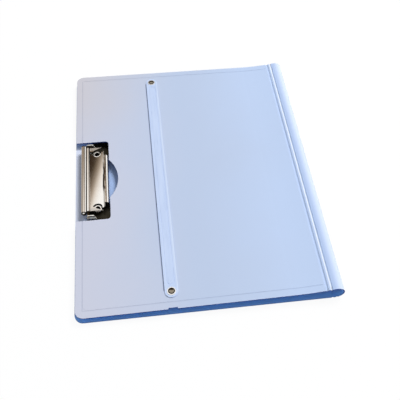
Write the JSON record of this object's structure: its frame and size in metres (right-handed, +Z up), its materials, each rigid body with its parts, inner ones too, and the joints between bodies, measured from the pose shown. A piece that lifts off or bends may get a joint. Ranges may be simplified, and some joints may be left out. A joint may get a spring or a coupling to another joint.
{
  "type": "clipboard folder",
  "caption": "Flat plastic folder with a low spring clip in a cut-out of its cover, a folding rounded spine and a strap across the front, lying closed on a table.",
  "frame": {"origin": "centre of the closed folder's box, on the face it rests on", "axes": "+Z up from the table, +X from the clip edge to the spine, +Y along the long side of the page"},
  "size_m": [0.25, 0.315, 0.017],
  "materials": {
    "folder_plastic": "satin, very fine grain",
    "strap_plastic": "smooth",
    "clip_chrome": "polished plate",
    "clip_base_metal": "dark plated",
    "rivet_metal": "polished nickel",
    "spring_steel": "drawn wire"
  },
  "bodies": {
    "board": {"back_board": "folder_plastic", "clip_base_plate": "clip_base_metal", "clip_eyelets": "rivet_metal", "clip_eyelet_washers": "rivet_metal", "clip_hinge_pin": "clip_chrome"},
    "rear_strip": {"rear_fold_strip": "folder_plastic"},
    "spine_shell": {"spine": "folder_plastic"},
    "front_strip": {"front_fold_strip": "folder_plastic"},
    "cover": {"front_cover": "folder_plastic", "retaining_strap": "strap_plastic", "strap_rivet_caps": "rivet_metal", "strap_rivet_posts": "rivet_metal"},
    "jaw": {"clip_jaw": "clip_chrome", "clip_springs": "spring_steel"}
  },
  "joints": [
    {"name": "rear_fold", "type": "hinge", "parent": "board", "child": "rear_strip", "pos_m": [0.11487, 0, 0.0012], "axis": [0, 1, 0], "range_deg": [0, 90]},
    {"name": "spine_turn", "type": "hinge", "parent": "rear_strip", "child": "spine_shell", "pos_m": [0.11876, 0, 0.00156], "axis": [0, 1, 0], "range_deg": [0, 90]},
    {"name": "front_fold", "type": "hinge", "parent": "spine_shell", "child": "front_strip", "pos_m": [0.11139, 0, 0.01501], "axis": [0, 1, 0], "range_deg": [0, 90]},
    {"name": "cover_turn", "type": "hinge", "parent": "front_strip", "child": "cover", "pos_m": [0.10738, 0, 0.01416], "axis": [0, 1, 0], "range_deg": [0, 90]},
    {"name": "jaw_turn", "type": "hinge", "parent": "board", "child": "jaw", "pos_m": [-0.1114, 0, 0.0075], "axis": [0, -1, 0], "range_deg": [0, 60], "stiffness_Nm_per_rad": 0.4, "springref_deg": -45.84}
  ]
}
